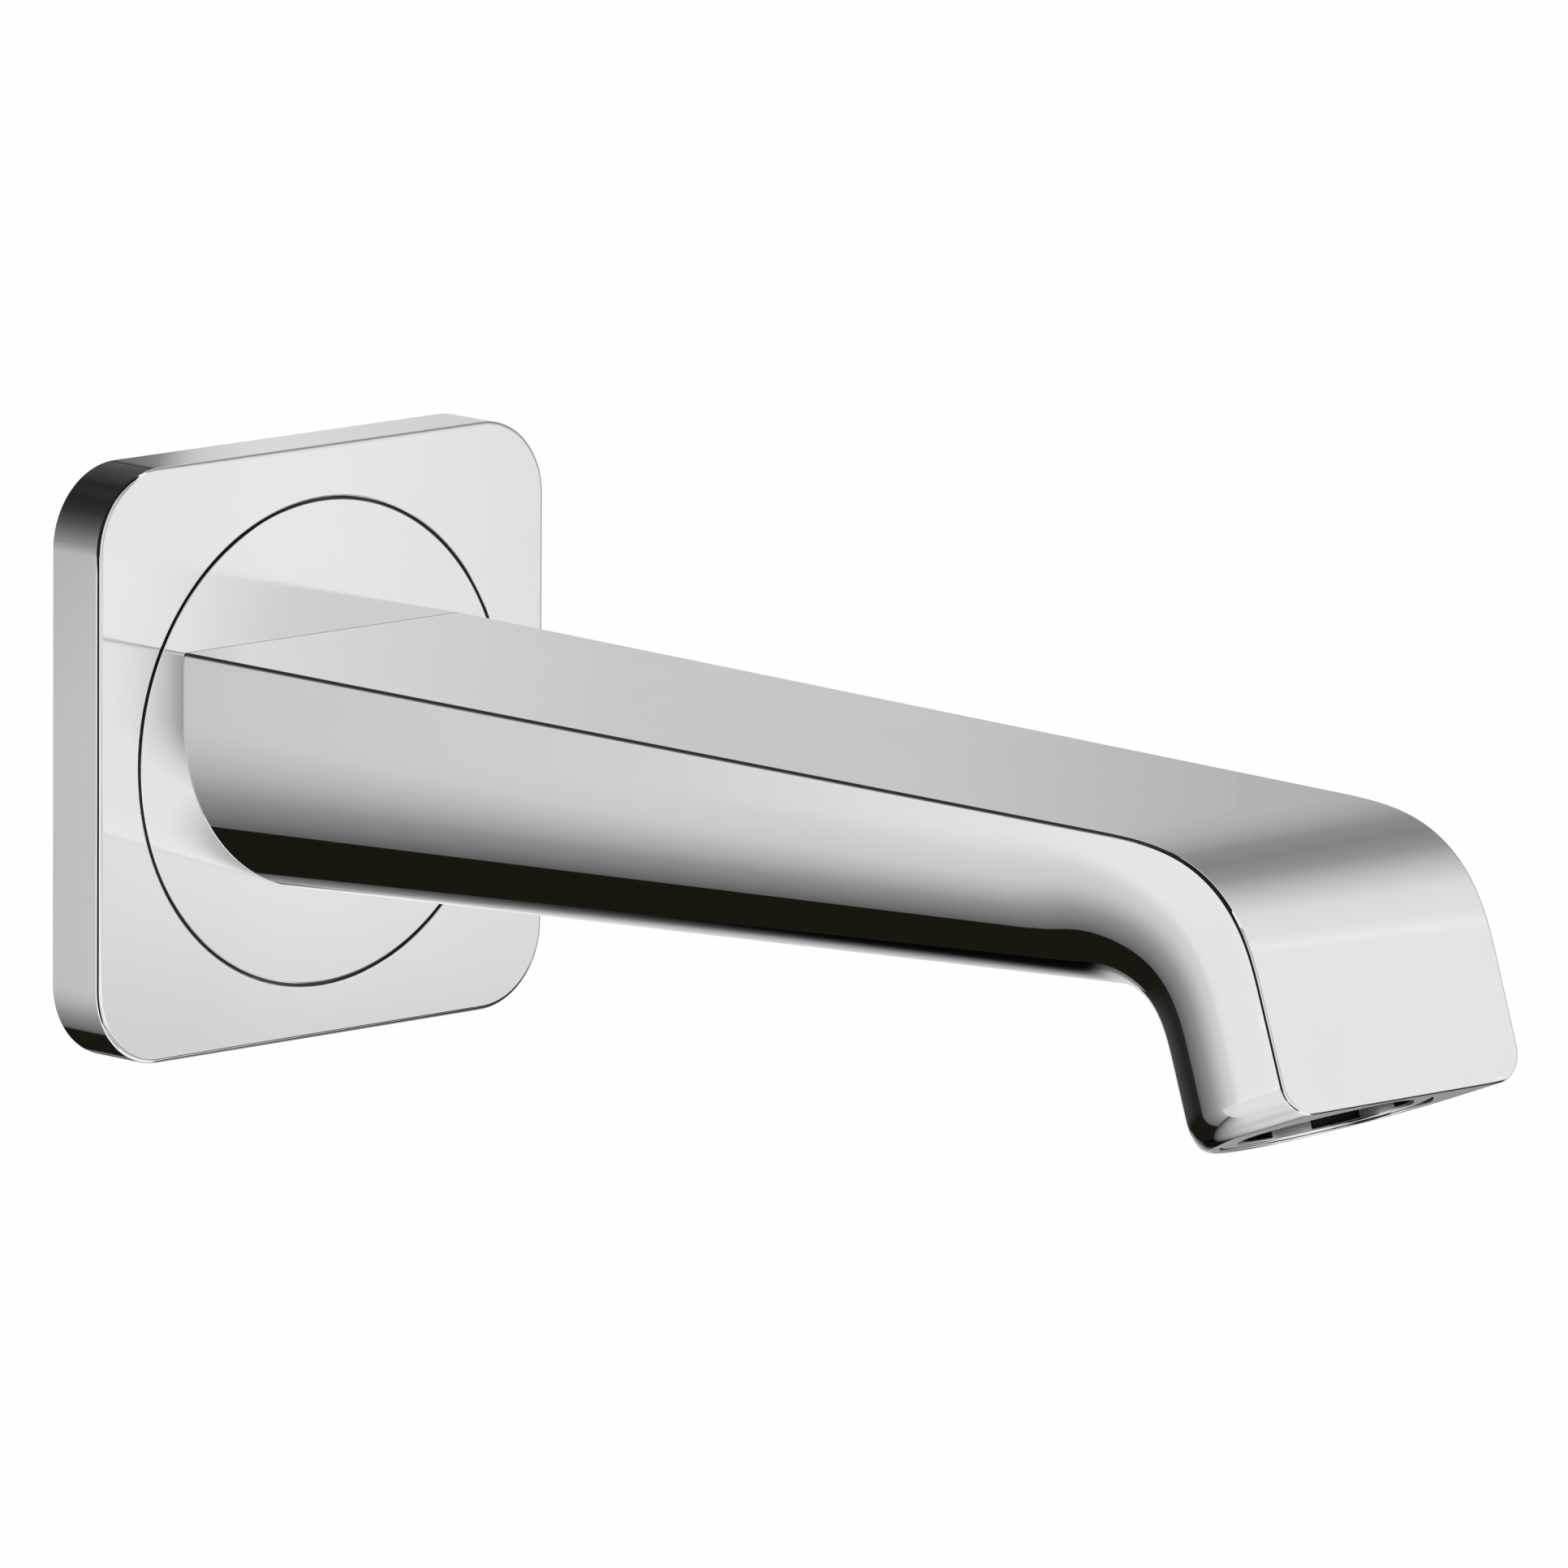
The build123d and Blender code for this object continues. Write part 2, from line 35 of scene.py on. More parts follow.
mm = 0.001
weldGap = 0.0005   # corners nearer than this become one
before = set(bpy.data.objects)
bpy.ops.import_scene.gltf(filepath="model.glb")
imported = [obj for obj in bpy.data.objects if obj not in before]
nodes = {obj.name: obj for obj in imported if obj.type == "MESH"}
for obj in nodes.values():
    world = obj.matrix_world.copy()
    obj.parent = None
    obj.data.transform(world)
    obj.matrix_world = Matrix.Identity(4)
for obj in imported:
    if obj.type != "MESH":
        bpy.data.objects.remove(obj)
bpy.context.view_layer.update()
print("frame:", len(nodes), "solids loaded")


# shared moves

def startFresh():
    if bpy.context.object and bpy.context.object.mode != "OBJECT":
        bpy.ops.object.mode_set(mode="OBJECT")
    bpy.ops.object.select_all(action="DESELECT")


def pick(piece):
    startFresh()
    piece.select_set(True)
    bpy.context.view_layer.objects.active = piece


def closeUp(piece, fillEnds):
    # weld what meets, close open ends, and turn the faces outwards
    pick(piece)
    bpy.ops.object.mode_set(mode="EDIT")
    bpy.ops.mesh.select_all(action="SELECT")
    bpy.ops.mesh.remove_doubles(threshold=weldGap * mm)
    if fillEnds:
        bpy.ops.mesh.fill_holes(sides=0)
    bpy.ops.mesh.normals_make_consistent(inside=False)
    bpy.ops.object.mode_set(mode="OBJECT")


def growLoops(name, loops, fillEnds=True):
    # a circle becomes the first loop and is extruded from loop to loop
    startFresh()
    bpy.ops.mesh.primitive_circle_add(vertices=len(loops[0]), fill_type="NOTHING")
    piece = bpy.context.object
    piece.name = name
    bpy.ops.object.mode_set(mode="EDIT")
    bpy.ops.mesh.select_all(action="SELECT")
    work = bmesh.from_edit_mesh(piece.data)
    place = work.verts.layers.int.new("place")
    for index, corner in enumerate(work.verts):
        corner[place] = index
        corner.co = loops[0][index] * mm
    bmesh.update_edit_mesh(piece.data)
    for loop in loops[1:]:
        bpy.ops.mesh.extrude_edges_move()
        work = bmesh.from_edit_mesh(piece.data)
        place = work.verts.layers.int["place"]
        for corner in work.verts:
            if corner.select:
                corner.co = loop[corner[place]] * mm
        bmesh.update_edit_mesh(piece.data)
    bpy.ops.object.mode_set(mode="OBJECT")
    piece.data.attributes.remove(piece.data.attributes["place"])
    closeUp(piece, fillEnds)
    return piece


def spinProfile(name, profile, steps, stand):
    # a circle is pulled to the closed profile (radius, height), spun round z and set in its stand
    startFresh()
    bpy.ops.mesh.primitive_circle_add(vertices=len(profile), fill_type="NOTHING")
    piece = bpy.context.object
    piece.name = name
    for corner, (radius, height) in zip(piece.data.vertices, profile):
        corner.co = Vector((radius, 0, height)) * mm
    bpy.ops.object.mode_set(mode="EDIT")
    bpy.ops.mesh.select_all(action="SELECT")
    bpy.ops.mesh.spin(steps=steps, angle=2 * math.pi, center=(0, 0, 0), axis=(0, 0, 1))
    bpy.ops.object.mode_set(mode="OBJECT")
    closeUp(piece, False)
    piece.data.transform(stand)
    return piece


def roundProfile(corners, steps=5):
    # corners are (radius, height, round), and a round becomes an arc
    points = []
    for index, (radius, height, bend) in enumerate(corners):
        here = Vector((radius, height))
        if not bend:
            points.append(here)
            continue
        before = (Vector(corners[index - 1][:2]) - here).normalized()
        after = (Vector(corners[(index + 1) % len(corners)][:2]) - here).normalized()
        half = before.angle(after) / 2
        center = here + (before + after).normalized() * (bend / math.sin(half))
        start = here + before * (bend / math.tan(half)) - center
        end = here + after * (bend / math.tan(half)) - center
        turn = start.angle_signed(end)
        for step in range(steps + 1):
            angle = -turn * step / steps
            spoke = Vector((
                start.x * math.cos(angle) - start.y * math.sin(angle),
                start.x * math.sin(angle) + start.y * math.cos(angle),
            ))
            points.append(center + spoke)
    return points


def combine(piece, tool, operation="DIFFERENCE"):
    step = piece.modifiers.new("combine", "BOOLEAN")
    step.operation = operation
    step.solver = "MANIFOLD"
    step.object = tool
    pick(piece)
    bpy.ops.object.modifier_apply(modifier=step.name)
    bpy.data.objects.remove(tool)


def smoothFinish(piece, sharpAngle=32):
    # smooth shading with true edges, and flats that stay flat beside their small rounds
    pick(piece)
    bpy.ops.object.shade_smooth_by_angle(angle=math.radians(sharpAngle))
    even = piece.modifiers.new("evenNormals", "WEIGHTED_NORMAL")
    even.keep_sharp = True
    bpy.ops.object.modifier_apply(modifier=even.name)


def standFor(piece, node):
    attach(piece, "root")
    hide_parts(node)


def sine(degrees):
    return math.sin(math.radians(degrees))


def cosine(degrees):
    return math.cos(math.radians(degrees))


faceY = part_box("cover_disc")[0].y / mm            # the plane that the spout's root stands on
wallStand = Matrix.Rotation(math.radians(90), 4, "X")  # heights run from the wall outwards


# spout

spoutForm = {
    "rootHalfWidth": 21.75, "sideTaper": 1.02,
    "topHeight": 12.9, "topFall": 0.52, "topCorner": 169.93, "outerBend": 23.45,
    "underDepth": 17.15, "underRise": 3.15, "underCorner": 146.98, "innerBend": 11.5,
    "noseLean": 19.25, "noseHeight": 29.98, "outletLean": 20.3, "outletSetBack": 13.68, "bulgeShare": 0.4,
    "topEdge": 0.45, "rimSide": 4.0, "rimBack": 1.0, "rimFront": 0.35,
    "rootRelief": 0.12,
    "wall": 3.0, "coreCorner": 1.0, "coreStraight": 1.5, "coreBackWall": 2.0,
    "outletFloor": 3.0, "outletCutReach": 1.0,
    "hubRadius": 12.0, "hubWallGap": 0.3, "hubGrooveDepth": 0.6, "hubSink": 2.0,
    "ringBack": 1.3, "ringThickness": 1.2,
    "socketRadius": 9.6, "socketDepth": 28.0,
    "screwRadius": 3.0, "screwReach": 9.5, "screwSeat": 8.4,
    "armSteps": 40, "bendSteps": 96, "pathSteps": 384, "noseSteps": 8, "coreSteps": 12, "rimSteps": 18,
    "hubSteps": 128, "outletSteps": 192, "mouthSteps": 4, "screwSteps": 64,
}
aeratorForm = {
    "recess": 0.2, "rimRadius": 12.2, "rimGap": 0.2, "rimHeight": 1.8, "rimRoom": 0.1,
    "lip": 0.35, "windowHeight": 1.0, "windowWidth": 5.6, "windowCount": 6, "windowTurn": 40,
    "threadRadius": 11.4, "threadClearance": 0.06, "height": 7.75, "wall": 1.2,
    "ledgeHeight": 0.8, "ledgeWidth": 0.8, "sealThickness": 2.4, "throatRadius": 7.4,
    "edge": 0.15, "mouthEdge": 0.15,
    "steps": 192,
}
seatHeight = aeratorForm["recess"] + aeratorForm["height"] + aeratorForm["sealThickness"]
ringBore = aeratorForm["threadRadius"] - aeratorForm["wall"]


def crossing(start, direction, point, along):
    across = Vector((0, along.z, -along.y))
    return start + direction * ((point - start).dot(across) / direction.dot(across))


def ease(share):
    # how much of its turn a bend has made: it tightens slowly and straightens sooner
    return share ** 3 * (4 - 3 * share)


def easedBend(corner, along, turn, length):
    # points of a bend between two lines that meet in a corner, from a length before the corner
    aside = Vector((0, -along.z, along.y))
    steps = spoutForm["pathSteps"]
    path = [Vector((0, 0, 0))]
    for step in range(steps):
        heading = turn * (ease(step / steps) + ease((step + 1) / steps)) / 2
        path.append(path[-1] + along * cosine(heading) + aside * sine(heading))
    reach = path[-1].dot(along) - path[-1].dot(aside) / math.tan(math.radians(turn))
    return [corner + (point / reach - along) * length for point in path]


def spoutSideView(form):
    # the points and directions of the side view, from the root round to the underside
    fall, rise = form["topFall"], form["underRise"]
    lean, outletLean = form["noseLean"], form["outletLean"]
    topAlong = Vector((0, -cosine(fall), -sine(fall)))
    underAlong = Vector((0, -cosine(rise), sine(rise)))
    topStart = Vector((0, faceY, form["topHeight"]))
    underStart = Vector((0, faceY, -form["underDepth"]))
    topCorner = topStart + topAlong * (form["topCorner"] / cosine(fall))
    underCorner = underStart + underAlong * (form["underCorner"] / cosine(rise))
    view = {
        "noseDown": Vector((0, -sine(lean), -cosine(lean))),
        "outletDown": Vector((0, -sine(outletLean), -cosine(outletLean))),
        "outletOut": Vector((0, -cosine(outletLean), sine(outletLean))),
        "underStart": underStart,
        "innerTurn": 90 + rise - lean,
    }
    view["noseTip"] = topCorner + view["noseDown"] * form["noseHeight"]
    view["noseHeel"] = crossing(view["noseTip"], view["outletOut"], underCorner, view["noseDown"])
    view["outletCenter"] = view["noseTip"] - view["outletOut"] * form["outletSetBack"]
    outerBend = easedBend(topCorner, topAlong, 90 - fall - lean, form["outerBend"])
    view["outerOutline"] = [topStart] + outerBend + [view["noseTip"]]
    view["innerBend"] = easedBend(underCorner, underAlong, view["innerTurn"], form["innerBend"])
    return view


spoutView = spoutSideView(spoutForm)
outletStand = (
    Matrix.Translation(spoutView["outletCenter"] * mm)
    @ Matrix.Rotation(math.radians(-spoutForm["outletLean"]), 4, "X")
)  # heights run up the nose from the outlet


def halfWidthAt(point):
    narrowing = math.tan(math.radians(spoutForm["sideTaper"]))
    return spoutForm["rootHalfWidth"] - narrowing * (faceY - point.y)


def rayStation(inner, tilt):
    # a section's inner point, and the point where its tilted ray meets the outer outline
    ray = Vector((0, -sine(tilt), cosine(tilt)))
    ahead = Vector((0, -cosine(tilt), -sine(tilt)))
    outline = spoutView["outerOutline"]
    for start, end in zip(outline, outline[1:]):
        if (end - inner).dot(ahead) > 0:
            return inner, crossing(inner, ray, start, end - start)


def armStation(share):
    inner = spoutView["underStart"].lerp(spoutView["innerBend"][0], share)
    return rayStation(inner, -spoutForm["underRise"] * share)


def bendStation(step):
    turned = spoutView["innerTurn"] * ease(step / spoutForm["pathSteps"])
    return rayStation(spoutView["innerBend"][step], turned - spoutForm["underRise"])


def noseStation(height):
    level = spoutView["noseTip"] - spoutView["outletDown"] * height
    inner = crossing(level, spoutView["outletOut"], spoutView["noseHeel"], spoutView["noseDown"])
    return inner, crossing(level, spoutView["outletOut"], spoutView["noseTip"], spoutView["noseDown"])


sectionSteps = {"top": 12, "corner": 8, "side": 6, "under": 96}


def uSection(inner, outer, inset, halfWidth, straight, bulge, corner):
    # flat top, small corner rounds, straight sides and a half ellipse below
    up = (outer - inner).normalized()
    points = []
    for step in range(sectionSteps["top"]):
        across = 2 * (halfWidth - corner) * step / sectionSteps["top"]
        points.append((-halfWidth + corner + across, 0))
    for step in range(sectionSteps["corner"]):
        turn = 90 * step / sectionSteps["corner"]
        points.append((halfWidth - corner + corner * sine(turn), corner - corner * cosine(turn)))
    for step in range(sectionSteps["side"]):
        points.append((halfWidth, corner + (straight - corner) * step / sectionSteps["side"]))
    for step in range(sectionSteps["under"]):
        turn = 180 * step / sectionSteps["under"]
        points.append((halfWidth * cosine(turn), straight + bulge * sine(turn)))
    for step in range(sectionSteps["side"]):
        points.append((-halfWidth, straight + (corner - straight) * step / sectionSteps["side"]))
    for step in range(sectionSteps["corner"]):
        turn = 90 * step / sectionSteps["corner"]
        points.append((-halfWidth + corner - corner * cosine(turn), corner - corner * sine(turn)))
    return [outer + Vector((x, 0, 0)) - up * (inset + depth) for x, depth in points]


def depthOf(station):
    return (station[1] - station[0]).length


def bendBulge(station):
    # the half ellipse takes a share of what the bend adds to the arm's depth
    added = depthOf(station) - depthOf(bendStation(0))
    return halfWidthAt(station[1]) + spoutForm["bulgeShare"] * added


def skinSection(station, bulge):
    straight = depthOf(station) - bulge
    return uSection(*station, 0, halfWidthAt(station[1]), straight, bulge, spoutForm["topEdge"])


def coreSection(station):
    wall, straight = spoutForm["wall"], spoutForm["coreStraight"]
    halfWidth = halfWidthAt(station[1]) - wall
    bulge = depthOf(station) - 2 * wall - straight
    return uSection(*station, wall, halfWidth, straight, bulge, spoutForm["coreCorner"])


def standIn(radius, height):
    reach = max(0, radius - height)
    return radius - math.sqrt(radius ** 2 - reach ** 2)


def rimSection(turn):
    # wide rounds at the sides, narrow ones at the back and the front
    height = spoutForm["rimSide"] * (1 - sine(turn))
    station = noseStation(height)
    bulge = bendBulge(station)
    front = standIn(spoutForm["rimFront"], height)
    back = standIn(spoutForm["rimBack"], height)
    halfWidth = halfWidthAt(station[1]) - spoutForm["rimSide"] * (1 - cosine(turn))
    straight = depthOf(station) - bulge - front
    return uSection(*station, front, halfWidth, straight, bulge - back, spoutForm["topEdge"])


def rootSections():
    # a hair of relief round the root, where it stands on the disc
    relief = spoutForm["rootRelief"]
    root = armStation(0)
    halfWidth = halfWidthAt(root[1])
    straight = depthOf(root) - halfWidth - relief
    narrow = halfWidth - relief
    rootRow = uSection(*root, relief, narrow, straight, narrow, spoutForm["topEdge"])
    beside = armStation(relief / (faceY - spoutView["innerBend"][0].y))
    return [rootRow, skinSection(beside, halfWidthAt(beside[1]))]


def spread(start, end, steps):
    return [start + (end - start) * step / steps for step in range(1, steps + 1)]


def spoutSkin():
    form = spoutForm
    rows = rootSections()
    for share in spread(0, 1, form["armSteps"]):
        station = armStation(share)
        rows.append(skinSection(station, halfWidthAt(station[1])))
    for step in spread(0, form["pathSteps"], form["bendSteps"]):
        station = bendStation(round(step))
        rows.append(skinSection(station, bendBulge(station)))
    bendEnd, rimStart = bendStation(form["pathSteps"]), noseStation(form["rimSide"])
    for share in spread(0, 1, form["noseSteps"]):
        station = [start.lerp(end, share) for start, end in zip(bendEnd, rimStart)]
        rows.append(skinSection(station, bendBulge(station)))
    for turn in spread(0, 90, form["rimSteps"]):
        rows.append(rimSection(turn))
    return growLoops("chromeSpout", rows)


def addHub(spout):
    # a stub behind the disc, with the groove of its spring ring
    form = spoutForm
    rim, floor = form["hubRadius"], form["hubRadius"] - form["hubGrooveDepth"]
    back, front = form["hubWallGap"], form["hubSink"] - faceY
    ringBack, ringFront = form["ringBack"], form["ringBack"] + form["ringThickness"]
    profile = [
        (0, back), (rim, back), (rim, ringBack), (floor, ringBack),
        (floor, ringFront), (rim, ringFront), (rim, front), (0, front),
    ]
    combine(spout, spinProfile("hub", profile, form["hubSteps"], wallStand), "UNION")


def heightOverOutlet(station):
    middle = (station[0] + station[1]) / 2
    return (spoutView["noseTip"] - middle).dot(spoutView["outletDown"])


def cutHollow(spout):
    # the cast hollow follows the arm and the bend and ends above the aerator's seat
    form = spoutForm
    start = (form["socketDepth"] + form["coreBackWall"]) / (faceY - spoutView["innerBend"][0].y)
    end = 0
    while heightOverOutlet(bendStation(end)) > seatHeight + form["outletFloor"]:
        end += 1
    rows = [coreSection(armStation(share)) for share in (start, 1)]
    rows += [coreSection(bendStation(round(step))) for step in spread(0, end, form["coreSteps"])]
    combine(spout, growLoops("core", rows))


def cutSocket(spout):
    # the nipple's socket, open to the hollow
    form = spoutForm
    radius = form["socketRadius"]
    end = form["socketDepth"] - faceY + form["coreBackWall"] + form["wall"]
    profile = [(0, 0), (radius, 0), (radius, end), (0, end)]
    combine(spout, spinProfile("socket", profile, form["hubSteps"], wallStand))


def cutOutlet(spout):
    # the aerator's mouth with its small round, its thread, its seat and the throat above
    form, part = spoutForm, aeratorForm
    edge, mouth = part["mouthEdge"], part["rimRadius"] + part["rimGap"]
    bore, throat = part["threadRadius"] + part["threadClearance"], part["throatRadius"]
    shelf = part["recess"] + part["rimHeight"] + part["rimRoom"]
    floor = seatHeight + 2 * form["outletFloor"]
    profile = [(0, -form["outletCutReach"]), (mouth + edge, -form["outletCutReach"])]
    for step in range(form["mouthSteps"] + 1):
        turn = 90 * step / form["mouthSteps"]
        profile.append((mouth + edge - edge * sine(turn), edge - edge * cosine(turn)))
    profile += [
        (mouth, shelf), (bore, shelf), (bore, seatHeight), (throat, seatHeight), (throat, floor), (0, floor),
    ]
    combine(spout, spinProfile("outletBore", profile, form["outletSteps"], outletStand))


def cutScrewHole(spout):
    form = spoutForm
    stand = Matrix.Translation(Vector((0, faceY - form["screwReach"], 0)) * mm)
    radius, top = form["screwRadius"], -form["screwSeat"]
    bottom = top - form["underDepth"]
    profile = [(0, bottom), (radius, bottom), (radius, top), (0, top)]
    combine(spout, spinProfile("screwHole", profile, form["screwSteps"], stand))


def makeSpout():
    spout = spoutSkin()
    addHub(spout)
    cutHollow(spout)
    cutSocket(spout)
    cutOutlet(spout)
    cutScrewHole(spout)
    smoothFinish(spout)
    standFor(spout, "spout_body")
    return spout


# wall plate and disc

plateForm = {
    "corner": 9.5, "edge": 0.6, "rim": 2.0, "recess": 2.0, "holeRadius": 28.85, "holeEdge": 0.2,
    "pocketWall": 4.0, "pocketCollar": 3.0, "face": 2.8,
    "cornerSteps": 24, "sideSteps": 24, "edgeSteps": 7, "collarSteps": 192,
}
discForm = {
    "radius": 28.5, "edge": 0.2, "back": 2.5, "bore": 12.1,
    "grooveWidth": 2.6, "grooveDepth": 1.75, "reliefDepth": 2.0, "reliefFrom": 18.0, "reliefTo": 23.75,
    "steps": 288,
}


def roundedSquare(half, corner, y):
    # walks round the outline, corner by corner
    points = []
    for quarter in range(4):
        turn = Matrix.Rotation(math.radians(-90 * quarter), 3, "Y")
        for step in range(plateForm["sideSteps"]):
            along = -(half - corner) + 2 * (half - corner) * step / plateForm["sideSteps"]
            points.append(turn @ Vector((half, y, along)))
        for step in range(plateForm["cornerSteps"]):
            angle = 90 * step / plateForm["cornerSteps"]
            reach = half - corner
            points.append(turn @ Vector((reach + corner * cosine(angle), y, reach + corner * sine(angle))))
    return points


def circleLike(points, radius, y):
    # a circle whose points lie on the same spokes as another outline
    loop = []
    for point in points:
        spoke = Vector((point.x, 0, point.z)).normalized() * radius
        loop.append(Vector((spoke.x, y, spoke.z)))
    return loop


def makePlate():
    form = plateForm
    low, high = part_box("escutcheon_plate")
    half, corner = (high.x - low.x) / 2 / mm, form["corner"]
    rimHalf, rimCorner = half - form["rim"], corner - form["rim"]
    hole, holeEdge, edge = form["holeRadius"], form["holeEdge"], form["edge"]
    outline = roundedSquare(half, corner, 0)
    turns = [90 * step / form["edgeSteps"] for step in range(form["edgeSteps"] + 1)]
    loops = [circleLike(outline, hole, -form["recess"])]
    for turn in turns:
        radius = hole + holeEdge * (1 - cosine(turn))
        loops.append(circleLike(outline, radius, faceY + holeEdge * (1 - sine(turn))))
    for turn in turns:
        inset = edge * (1 - sine(turn))
        loops.append(roundedSquare(half - inset, corner - inset, faceY + edge * (1 - cosine(turn))))
    loops.append(outline)
    loops.append(roundedSquare(rimHalf, rimCorner, 0))
    loops.append(roundedSquare(rimHalf, rimCorner, -form["recess"]))
    loops.append(loops[0])
    plate = growLoops("chromePlate", loops, fillEnds=False)

    # corner pockets behind the face
    pocketHalf, pocketCorner = half - form["pocketWall"], corner - form["pocketWall"]
    pocket = growLoops("pocket", [
        roundedSquare(pocketHalf, pocketCorner, -form["recess"] / 2),
        roundedSquare(pocketHalf, pocketCorner, faceY + form["face"]),
    ])
    collar = hole + form["pocketCollar"]
    profile = [(0, 0), (collar, 0), (collar, -faceY), (0, -faceY)]
    combine(pocket, spinProfile("collar", profile, form["collarSteps"], wallStand))
    combine(plate, pocket)
    smoothFinish(plate)
    standFor(plate, "escutcheon_plate")
    return plate


def makeDisc():
    form = discForm
    front, back = -faceY, form["back"]
    middle = (front + back) / 2
    grooveLow, grooveHigh = middle - form["grooveWidth"] / 2, middle + form["grooveWidth"] / 2
    grooveFloor = form["radius"] - form["grooveDepth"]
    relief = back + form["reliefDepth"]
    corners = [
        (form["bore"], back, 0), (form["reliefFrom"], back, 0), (form["reliefFrom"], relief, 0),
        (form["reliefTo"], relief, 0), (form["reliefTo"], back, 0), (form["radius"], back, form["edge"]),
        (form["radius"], grooveLow, 0), (grooveFloor, grooveLow, 0), (grooveFloor, grooveHigh, 0),
        (form["radius"], grooveHigh, 0), (form["radius"], front, form["edge"]), (form["bore"], front, 0),
    ]
    disc = spinProfile("chromeDisc", roundProfile(corners), form["steps"], wallStand)
    smoothFinish(disc)
    standFor(disc, "cover_disc")
    return disc


# aerator ring

def windowCutter(number):
    # a block that cuts one window through the ring's wall
    form = aeratorForm
    startFresh()
    bpy.ops.mesh.primitive_cube_add(size=1)
    window = bpy.context.object
    depth = 2 * (form["rimRadius"] - ringBore) + form["ledgeWidth"]
    size = Vector((depth, form["windowWidth"], form["windowHeight"])) * mm
    middle = form["recess"] + form["lip"] + form["windowHeight"] / 2
    place = Vector((form["rimRadius"], 0, middle)) * mm
    turn = math.radians(form["windowTurn"] + 360 * number / form["windowCount"])
    stand = outletStand @ Matrix.Rotation(turn, 4, "Z") @ Matrix.Translation(place)
    window.data.transform(stand @ Matrix.Diagonal(size.to_4d()))
    return window


def makeAeratorRing():
    form = aeratorForm
    base, edge = form["recess"], form["edge"]
    rim, thread = form["rimRadius"], form["threadRadius"]
    rimTop, top = base + form["rimHeight"], base + form["height"]
    ledge = ringBore - form["ledgeWidth"]
    ledgeLow = base + form["lip"] + form["windowHeight"]
    ledgeHigh = ledgeLow + form["ledgeHeight"]
    corners = [
        (rim, base, edge), (rim, rimTop, 0), (thread, rimTop, 0), (thread, top, edge), (ringBore, top, 0),
        (ringBore, ledgeHigh, 0), (ledge, ledgeHigh, 0), (ledge, ledgeLow, 0), (ringBore, ledgeLow, 0),
        (ringBore, base, edge),
    ]
    ring = spinProfile("aeratorRing", roundProfile(corners), form["steps"], outletStand)
    for number in range(form["windowCount"]):
        combine(ring, windowCutter(number))
    smoothFinish(ring)
    standFor(ring, "aerator_housing")
    return ring


# nipple

nippleForm = {
    "radius": 9.5, "front": -34.0, "chamfer": 0.8, "bore": 5.8,
    "threadRadius": 10.48, "threadDepth": 1.16, "pitch": 1.814, "threadLength": 14.0, "leadIn": 1.0,
    "threadSwing": 0.62,   # past 0.5 it flattens crests and roots
    "rings": (-30.0, -25.0), "ringWidth": 2.2, "ringDepth": 1.6,
    "screwGroove": -17.5, "screwGrooveWidth": 7.0, "screwGrooveDepth": 1.1,
    "keyFlats": 10.0, "keyDepth": 9.0,
    "around": 120, "stepsPerPitch": 12, "sharpAngle": 40,
}


def makeNipple():
    form = nippleForm

    def ringLoop(y, radiusAt):
        loop = []
        for step in range(form["around"]):
            angle = 2 * math.pi * step / form["around"]
            radius = radiusAt(angle)
            loop.append(Vector((radius * math.cos(angle), y, radius * math.sin(angle))))
        return loop

    def threadRadius(angle, y):
        # a pipe thread with rounded crests and roots, cut away by the lead-in at its end
        phase = 2 * math.pi * y / form["pitch"] - angle
        share = min(1, max(0, 0.5 + form["threadSwing"] * math.cos(phase)))
        share = share * share * (3 - 2 * share)
        cut = max(0, y - form["threadLength"] + form["leadIn"])
        crest = form["threadRadius"]
        return min(crest - form["threadDepth"] * (1 - share), crest - cut)

    def hexagon(angle):
        side = math.radians(60)
        return form["keyFlats"] / 2 / math.cos(angle % side - side / 2)

    front, chamfer = form["front"], form["chamfer"]
    turned = [
        (front, form["bore"]), (front, form["radius"] - chamfer), (front + chamfer, form["radius"]),
    ]
    grooves = [(place, form["ringWidth"], form["ringDepth"]) for place in form["rings"]]
    grooves.append((form["screwGroove"], form["screwGrooveWidth"], form["screwGrooveDepth"]))
    for place, width, depth in grooves:
        low, high, floor = place - width / 2, place + width / 2, form["radius"] - depth
        turned += [(low, form["radius"]), (low, floor), (high, floor), (high, form["radius"])]
    turned.append((0, form["radius"]))
    loops = [ringLoop(y, lambda angle, radius=radius: radius) for y, radius in turned]
    count = round(form["threadLength"] / form["pitch"] * form["stepsPerPitch"])
    for step in range(count + 1):
        y = form["threadLength"] * step / count
        loops.append(ringLoop(y, lambda angle, y=y: threadRadius(angle, y)))
    keyFloor = form["threadLength"] - form["keyDepth"]
    loops.append(ringLoop(form["threadLength"], hexagon))
    loops.append(ringLoop(keyFloor, hexagon))
    loops.append(ringLoop(keyFloor, lambda angle: form["bore"]))
    loops.append(loops[0])
    nipple = growLoops("brassNipple", loops, fillEnds=False)
    smoothFinish(nipple, form["sharpAngle"])
    standFor(nipple, "wall_nipple")
    return nipple


spout = makeSpout()
print("spout:", len(spout.data.polygons), "faces")
plate = makePlate()
disc = makeDisc()
print("plate and disc:", len(plate.data.polygons), len(disc.data.polygons), "faces")
aeratorRing = makeAeratorRing()
nipple = makeNipple()
print("ring and nipple:", len(aeratorRing.data.polygons), len(nipple.data.polygons), "faces")


# finishes

def toLinear(tone):
    # an sRGB tone from 0 to 1 as linear light
    return tone / 12.92 if tone <= 0.04045 else ((tone + 0.055) / 1.055) ** 2.4


def linearColor(hexValue):
    # an sRGB hex value as a linear colour
    parts = [int(hexValue[start:start + 2], 16) / 255 for start in (1, 3, 5)]
    return [toLinear(part) for part in parts] + [1]


